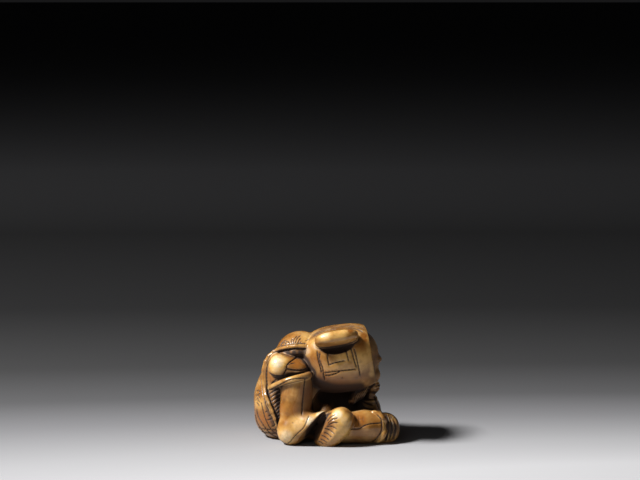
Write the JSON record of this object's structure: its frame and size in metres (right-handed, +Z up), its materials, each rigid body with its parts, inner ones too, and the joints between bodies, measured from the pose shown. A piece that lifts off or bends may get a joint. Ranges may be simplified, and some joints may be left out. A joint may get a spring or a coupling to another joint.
{
  "type": "netsuke",
  "caption": "Carved ivory netsuke of a hooded sage asleep on the ground, one booted leg drawn up and one folded flat, with cord holes in the back.",
  "frame": {"origin": "centre of the footprint, on the plane the carving stands on", "axes": "+Z up; +X along the longest extent, from the sage's back towards the folded knee, the way the head is turned; -Y the side of the boots and the hood's panel, +Y the back with the cord holes"},
  "size_m": [0.0394, 0.031, 0.0311],
  "materials": {
    "ivory": "old hand-polished ivory, honey-coloured, darker where handled and stained brown in the cut lines and hollows"
  },
  "bodies": {
    "root": {"netsuke": "ivory"}
  },
  "joints": []
}
